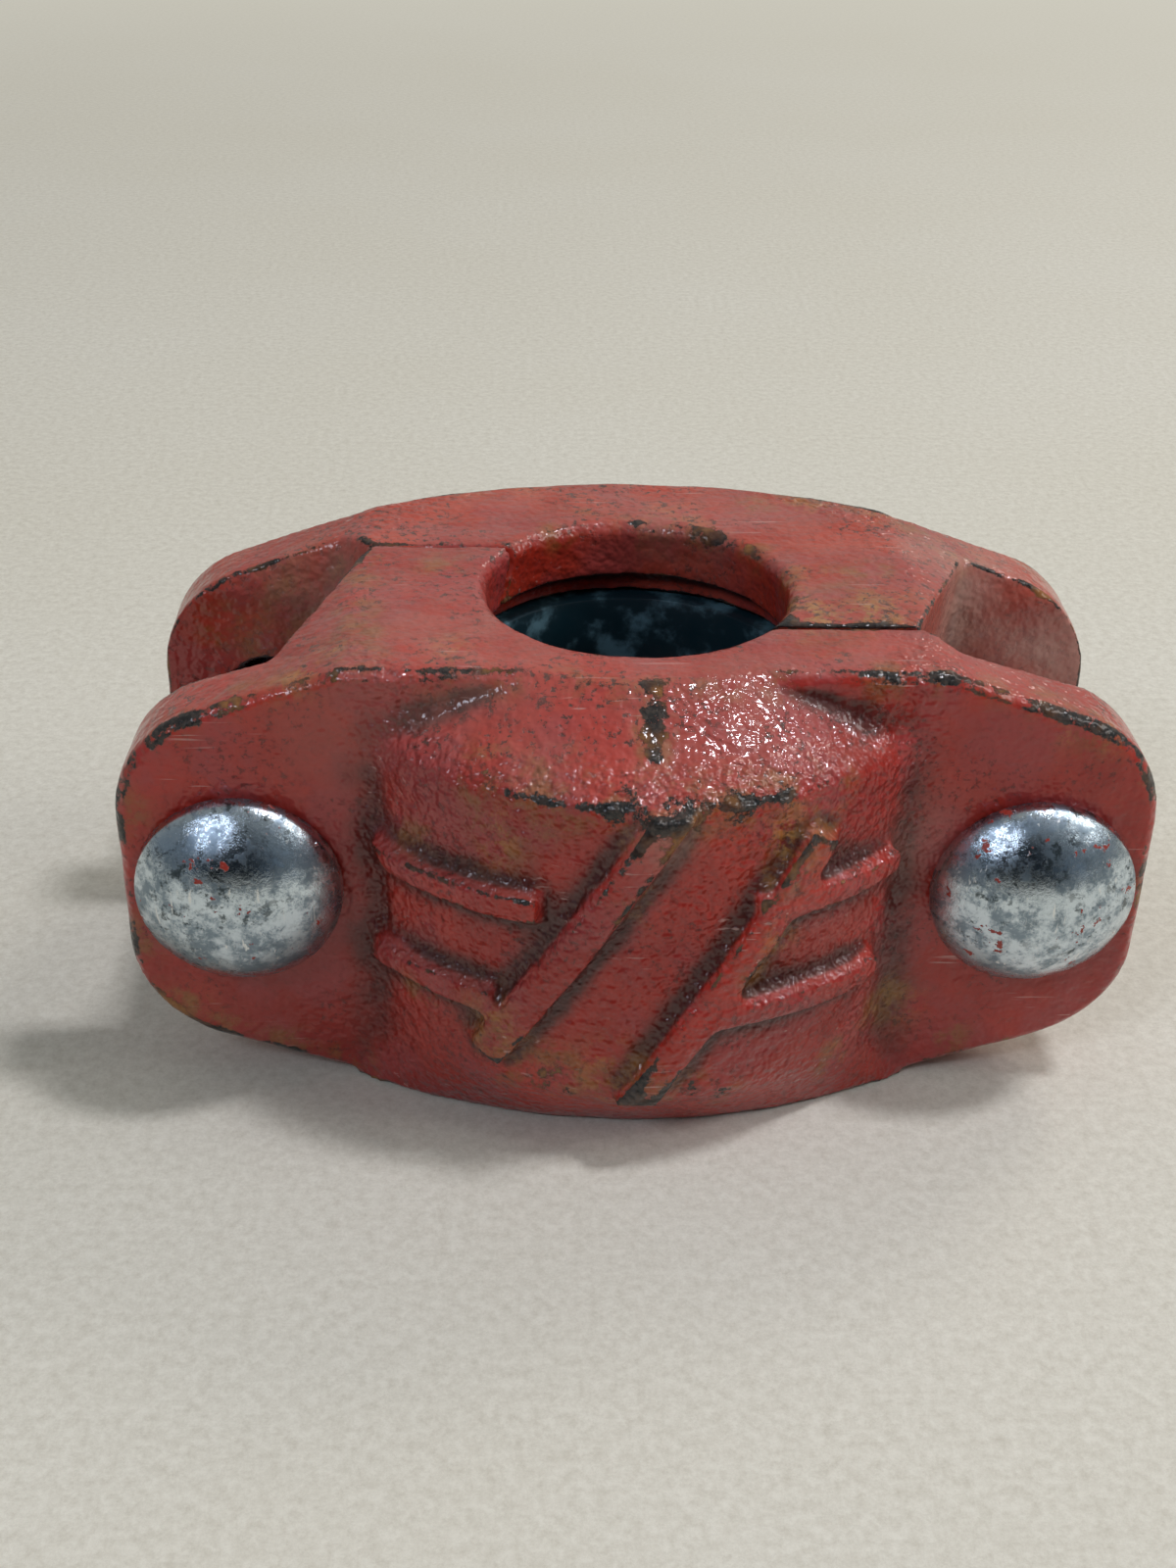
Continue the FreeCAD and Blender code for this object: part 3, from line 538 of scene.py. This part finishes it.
lip = [(LIP, WIDE), (LIP, LIP_WIDE), (LIP + 0.3, SHOULDER_WIDE),
       (SHOULDER, SHOULDER_WIDE), (LIP_BACK, LIP_WIDE + 0.2),
       (LIP_BACK, HOLLOW_WIDE), (HOLLOW, HOLLOW_WIDE)]
outside = [(OUTER, -WIDE), (OUTER, -SEAM), (OUTER - 0.15, 0.0), (OUTER, SEAM), (OUTER, WIDE)]
other_lip = [(radius, -along) for radius, along in reversed(lip)]
gasket = turned("rubber_gasket", outside + lip + other_lip, (0.0, 0.0, MID),
                (0.0, 0.0, 1.0), 144, closed=True)
round_edges(gasket, 0.0003, 2)


# EPDM rubber: carbon black, moulded smooth and dusted with a pale bloom, with a
# dull broad sheen. Its dark colour and its bloom are tinted blue, painted reflection of the
# room's bluish light.
def black_rubber():
    made, tree = new_material("moulded_EPDM_rubber")
    where = add_node(tree, 'TexCoord').outputs['Object']
    known = add_patterns(tree, {}, [
        ("cloud", where, 5.0, 6.0, 0.62), ("fine", where, 0.7, 3.0, 0.5),
    ], [("bloom", "cloud", 0.48, 0.66, 0.0, 0.6)])
    # the blue in both colours is painted reflection; the bloom's paleness is dust
    colour = add_node(tree, 'Mix', {
        0: known["bloom"], 6: linear('#0d2a33'), 7: linear('#6f9aa8')}, data_type='RGBA')
    rough = add_node(tree, 'MapRange', {
        'Value': known["cloud"], 'From Min': 0.35, 'From Max': 0.7, 'To Min': 0.36,
        'To Max': 0.62})
    bump = add_node(tree, 'Bump', {
        'Strength': 0.4, 'Distance': 0.00004, 'Height': known["fine"]})
    shader = add_node(tree, 'BsdfPrincipled', {
        'Base Color': colour, 'Roughness': rough, 'Normal': bump, 'IOR': 1.52})
    add_node(tree, 'OutputMaterial', {'Surface': shader})
    return made


gasket.data.materials.append(black_rubber())
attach(gasket, "front")
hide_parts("gasket")


# Bolts: M10 track bolts, cold headed from steel wire with a domed head and an
# oval neck, the thread rolled on after, then zinc plated all over.
SEAT = -19.8            # outer face of the front pads, where the heads bear
HEAD, RISE, TALL = 10.15, 4.9, 6.4      # head: radius, dome's rise, whole height
DOME_EDGE = 10.0                        # radius where the dome meets the rounded rim
SHANK, SHANK_END, TIP = 4.75, 3.0, 30.2
ROOT, CREST, BURIED = 4.25, 4.94, 4.1   # thread: radii, the last one inside the shank
THREAD_PITCH, THREAD_START, TURNS = 1.5, 4.6, 16
NECK, NECK_LONG, NECK_SPREAD = 5.4, 6.2, 3.1


def bolt(name, x):
    """Head and shank turned together, with the neck and the rolled thread."""
    ball = (HEAD ** 2 + RISE ** 2) / (2 * RISE)
    rim, steps = math.asin(DOME_EDGE / ball), 14
    dome = [(ball * math.sin(rim * i / steps),
             SEAT - TALL + ball * (1.0 - math.cos(rim * i / steps)))
            for i in range(steps + 1)]
    made = turned(name, dome + [
        (HEAD - 0.03, SEAT - 1.32), (HEAD, SEAT - 1.0), (HEAD, SEAT - 0.25),
        (HEAD - 0.25, SEAT), (SHANK, SEAT), (SHANK, SHANK_END), (ROOT, SHANK_END + 0.9),
        (ROOT, TIP - 1.2), (3.3, TIP), (0.0, TIP)], (x, 0.0, MID), (0.0, 1.0, 0.0), 72)
    bpy.ops.object.select_all(action='DESELECT')
    bpy.ops.mesh.primitive_cylinder_add(
        vertices=48, radius=NECK / MM, depth=NECK_LONG / MM, end_fill_type='NGON',
        location=(x, (SEAT + 2.9) / MM, MID), rotation=(math.pi / 2.0, math.pi / 48.0, 0.0))
    neck = bpy.context.object
    bpy.ops.object.transform_apply(location=True, rotation=True, scale=True)
    # its upper and lower halves are drawn apart, which makes the round oval
    for sign in (1.0, -1.0):
        for vertex in neck.data.vertices:
            vertex.select = (vertex.co.z - MID) * sign > 0.0
        for group in (neck.data.edges, neck.data.polygons):
            for item in group:
                item.select = False
        bpy.ops.object.mode_set(mode='EDIT')
        bpy.ops.transform.translate(value=(0.0, 0.0, NECK_SPREAD / MM * sign))
        bpy.ops.object.mode_set(mode='OBJECT')
    round_edges(neck, 0.0004, 3, 50.0)
    join(neck, made)
    join(thread(x), made)
    pick(made)
    bpy.ops.object.shade_smooth_by_angle(angle=math.radians(32.0))
    return made


def join(piece, made):
    """Makes the piece a part of the mesh already made."""
    pick(made)
    piece.select_set(True)
    bpy.ops.object.join()


def thread(x):
    """M10 thread: one ridge wound round the shank, with both its ends closed."""
    bpy.ops.object.select_all(action='DESELECT')
    bpy.ops.mesh.primitive_circle_add(vertices=3, radius=0.0007, location=(0.0, 0.0, 0.0))
    ridge = bpy.context.object
    corners = ((BURIED, 0.0), (CREST, 0.7), (BURIED, 1.4))
    for vertex, (radius, along) in zip(ridge.data.vertices, corners):
        vertex.co = (radius / MM, along / MM, 0.0)
    wind = ridge.modifiers.new("rolled_thread", 'SCREW')
    wind.axis = 'Y'
    wind.screw_offset = THREAD_PITCH / MM
    wind.iterations = TURNS
    wind.steps = wind.render_steps = 40
    wind.use_merge_vertices = False
    apply_all(ridge)
    ridge.location = (x, THREAD_START / MM, MID)
    bpy.ops.object.transform_apply(location=True, rotation=False, scale=False)
    bpy.ops.object.mode_set(mode='EDIT')
    bpy.ops.mesh.select_mode(type='VERT')
    bpy.ops.mesh.select_all(action='DESELECT')
    bpy.ops.object.mode_set(mode='OBJECT')
    count = len(ridge.data.vertices)
    for end in (range(3), range(count - 3, count)):
        for vertex in ridge.data.vertices:
            vertex.select = vertex.index in end
        bpy.ops.object.mode_set(mode='EDIT')
        bpy.ops.mesh.edge_face_add()
        bpy.ops.mesh.select_all(action='DESELECT')
        bpy.ops.object.mode_set(mode='OBJECT')
    bpy.ops.object.mode_set(mode='EDIT')
    bpy.ops.mesh.select_all(action='SELECT')
    bpy.ops.mesh.normals_make_consistent(inside=False)
    bpy.ops.object.mode_set(mode='OBJECT')
    return ridge


# Bright zinc plate on steel: a bluish silver, mirror-like where it is whole
# and dull grey where it has clouded, with dark stains, hair scratches from the
# spanner and a few flecks of red enamel from the housing beside it.
def zinc_plate(name, seed, flecks):
    made, tree = new_material(name)
    where = add_node(tree, 'TexCoord').outputs['Object']
    moved = add_node(tree, 'Mapping', {
        'Vector': where, 'Location': (0.09 * seed, 0.13 * seed, 0.06 * seed)})
    drawn = add_node(tree, 'Mapping', {
        'Vector': moved, 'Rotation': (0.0, 0.7, 0.0), 'Scale': (1.0, 1.0, 0.07)})
    known = add_patterns(tree, {}, [
        ("cloud", moved, 2.8, 7.0, 0.78), ("patch", moved, 6.0, 3.0, 0.5),
        ("stain", moved, 1.3, 7.0, 0.76), ("hair", drawn, 0.5, 2.0, 0.6),
        ("splash", moved, 2.0, 4.0, 0.65),
    ], [
        ("patchy", "patch", 0.42, 0.58, 0.25, 1.0),
        ("stained", "stain", 0.53, 0.60, 0.0, 0.85),
        ("clouded", "cloud", 0.42, 0.60, 0.0, 1.0),
        ("scratched", "hair", 0.66, 0.71, 0.0, 1.0),
        ("paint", "splash", 0.645, 0.66, 0.0, flecks),
        ("rough", "cloud", 0.40, 0.62, 0.09, 0.40),
        ("metal", "paint", 0.0, 1.0, 1.0, 0.0),
    ])
    known["stained"] = add_node(tree, 'Math', {
        0: known["stained"], 1: known["patchy"]}, operation='MULTIPLY')
    colour = linear('#d3dfe8')
    for amount, over in (("clouded", '#8796a2'), ("stained", '#3c4547'),
                         ("scratched", '#e3e6e7'), ("paint", '#9c3a30')):
        colour = add_node(tree, 'Mix', {0: known[amount], 6: colour, 7: linear(over)},
                          data_type='RGBA')
    relief = add_node(tree, 'Math', {0: known["cloud"], 1: known["paint"]}, operation='ADD')
    bump = add_node(tree, 'Bump', {'Strength': 0.6, 'Distance': 0.00014, 'Height': relief})
    shader = add_node(tree, 'BsdfPrincipled', {
        'Base Color': colour, 'Roughness': known["rough"], 'Metallic': known["metal"],
        'Normal': bump})
    add_node(tree, 'OutputMaterial', {'Surface': shader})
    return made


for side, sign, seed in (("left", -1.0, 1), ("right", 1.0, 2)):
    piece = bolt(side + "_track_bolt", BOLT_X * sign)
    piece.data.materials.clear()
    piece.data.materials.append(zinc_plate("bright_zinc_plate_" + side, seed, 1.0))
    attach(piece, "front")
    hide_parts(side + "_bolt")


# Nuts: M10 hexagon nuts, hot forged, chamfered at the outer end and tapped,
# then zinc plated. They bear on the machined pads of the rear housing.
NUT_SEAT, NUT_TALL, ACROSS_FLATS = 19.8, 8.0, 17.0
TAPPED, MOUTH = 5.02, 6.2       # radii of the hole and of its countersinks


def nut(name, x, turn):
    """Hexagon prism, its corners cut by a cone, with a tapped hole."""
    end = NUT_SEAT + NUT_TALL
    cone = [(0.0, NUT_SEAT - 0.8), (12.0, NUT_SEAT - 0.8), (12.0, end - 2.2),
            (8.2, end), (8.1, end + 0.8), (0.0, end + 0.8)]
    hole = [(0.0, NUT_SEAT - 0.6), (MOUTH, NUT_SEAT - 0.6), (TAPPED, NUT_SEAT + 0.6),
            (TAPPED, end - 0.6), (MOUTH, end + 0.6), (0.0, end + 0.6)]
    bpy.ops.object.select_all(action='DESELECT')
    bpy.ops.mesh.primitive_cylinder_add(
        vertices=6, radius=ACROSS_FLATS / math.sqrt(3.0) / MM, depth=NUT_TALL / MM,
        end_fill_type='NGON', location=(x, (NUT_SEAT + end) / 2.0 / MM, MID),
        rotation=(math.pi / 2.0, 0.0, 0.0))
    made = bpy.context.object
    made.name = name
    bpy.ops.object.transform_apply(location=False, rotation=True, scale=True)
    made.rotation_euler = (0.0, math.radians(turn + 30.0), 0.0)
    bpy.ops.object.transform_apply(location=True, rotation=True, scale=True)
    for kind, outline, how in (("_chamfer", cone, 'INTERSECT'), ("_hole", hole, 'DIFFERENCE')):
        tool = turned(name + kind, outline, (x, 0.0, MID), (0.0, 1.0, 0.0), 72)
        trim = made.modifiers.new(tool.name, 'BOOLEAN')
        trim.operation = how
        trim.solver = 'EXACT'
        trim.object = tool
        apply_all(made)
        bpy.data.objects.remove(tool)
    round_edges(made, 0.00018, 2, 25.0)
    return made


for side, sign, turn, seed in (("left", -1.0, 9.0, 3), ("right", 1.0, -14.0, 4)):
    piece = nut(side + "_hexagon_nut", BOLT_X * sign, turn)
    piece.data.materials.clear()
    piece.data.materials.append(zinc_plate("bright_zinc_nut_" + side, seed, 0.6))
    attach(piece, "nut_" + side)
    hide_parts(side + "_nut")


# Bench: a pale fibre board, far larger than the view. Far from the lamps the
# camera sees it as evenly lit by the room.
def fibre_board():
    made, tree = new_material("pale_fibre_board")
    where = add_node(tree, 'TexCoord').outputs['Object']
    known = add_patterns(tree, {}, [
        ("cloud", where, 90.0, 4.0, 0.5), ("grain", where, 1.3, 8.0, 0.85)], [])
    pale = add_node(tree, 'Mix', {
        0: known["cloud"], 6: linear('#ddd8c7'), 7: linear('#e5e2d6')}, data_type='RGBA')
    dark = add_node(tree, 'MapRange', {
        'Value': known["grain"], 'From Min': 0.34, 'From Max': 0.6, 'To Min': 0.38,
        'To Max': 0.0})
    colour = add_node(tree, 'Mix', {0: dark, 6: pale, 7: linear('#94886f')},
                      data_type='RGBA')
    board = add_node(tree, 'BsdfPrincipled', {'Base Color': colour, 'Roughness': 0.75})
    evenly = add_node(tree, 'Emission', {'Color': linear('#d3d0c3')})
    away = add_node(tree, 'VectorMath', {0: where}, operation='LENGTH')
    far = add_node(tree, 'MapRange', {
        'Value': away, 'From Min': 0.22, 'From Max': 1.0}, interpolation_type='SMOOTHSTEP')
    seen = add_node(tree, 'LightPath').outputs['Is Camera Ray']
    far = add_node(tree, 'Math', {0: far, 1: seen}, operation='MULTIPLY')
    both = add_node(tree, 'MixShader', {0: far, 1: board, 2: evenly})
    add_node(tree, 'OutputMaterial', {'Surface': both})
    return made


bpy.ops.object.select_all(action='DESELECT')
bpy.ops.mesh.primitive_plane_add(size=12.0, location=(0.0, 0.0, 0.0))
floor = bpy.context.object
floor.name = "bench_top"
bpy.ops.object.transform_apply(location=True, rotation=True, scale=True)
floor.data.materials.append(fibre_board())


# Lamps: a strip and a panel of diffused light above and to the right, another
# panel behind, and a small window in front on the left. Direction, distance,
# size and power are in metres and watts.
for name, direction, distance, size, power, colour in (
        ("ceiling_strip", (0.40, 0.00, 0.90), 1.3, (0.14, 0.20), 7.0, '#f6f6ff'),
        ("ceiling_panel", (0.74, -0.16, 0.62), 1.3, (0.50, 0.50), 3.4, '#f8f8f6'),
        ("back_panel", (0.50, 0.56, 0.66), 1.3, (0.34, 0.34), 2.4, '#fff8ee'),
        ("side_window", (-0.44, -0.60, 0.67), 0.9, (0.20, 0.20), 1.5, '#e4edff')):
    light = bpy.data.lights.new(name, 'AREA')
    light.shape = 'RECTANGLE'
    light.size, light.size_y = size
    light.energy = power
    light.color = linear(colour)[:3]
    holder = bpy.data.objects.new(name, light)
    bpy.context.collection.objects.link(holder)
    towards = Vector(direction).normalized()
    holder.location = Vector((0.0, 0.0, MID)) + towards * distance
    holder.rotation_euler = towards.to_track_quat('Z', 'Y').to_euler()


# The room: bright behind the coupling and overhead, bluish in front, and dark
# where the viewer stands, which the bolt heads show. Seen directly it is plain.
world = bpy.data.worlds.new("room")
world.use_nodes = True
room = world.node_tree
room.nodes.clear()
look = add_node(room, 'TexCoord').outputs['Generated']
sky = linear('#8798a8')
for direction, low, high, shade in (
        ((0.1, 0.62, 0.55), -0.45, 0.7, '#dadbd5'),
        ((-0.12, -0.95, 0.27), 0.74, 0.93, '#232b33')):
    toward = add_node(room, 'VectorMath', {0: look, 1: direction}, operation='DOT_PRODUCT')
    share = add_node(room, 'MapRange', {
        'Value': toward, 'From Min': low, 'From Max': high}, interpolation_type='SMOOTHSTEP')
    sky = add_node(room, 'Mix', {0: share, 6: sky, 7: linear(shade)}, data_type='RGBA')
seen = add_node(room, 'LightPath').outputs['Is Camera Ray']
shown = add_node(room, 'Mix', {0: seen, 6: sky, 7: linear('#d6d3c8')}, data_type='RGBA')
strength = add_node(room, 'MapRange', {'Value': seen, 'To Min': 0.42, 'To Max': 1.0})
glowing = add_node(room, 'Background', {'Color': shown, 'Strength': strength})
add_node(room, 'OutputWorld', {'Surface': glowing})
bpy.context.scene.world = world
bpy.context.scene.view_settings.view_transform = 'Standard'
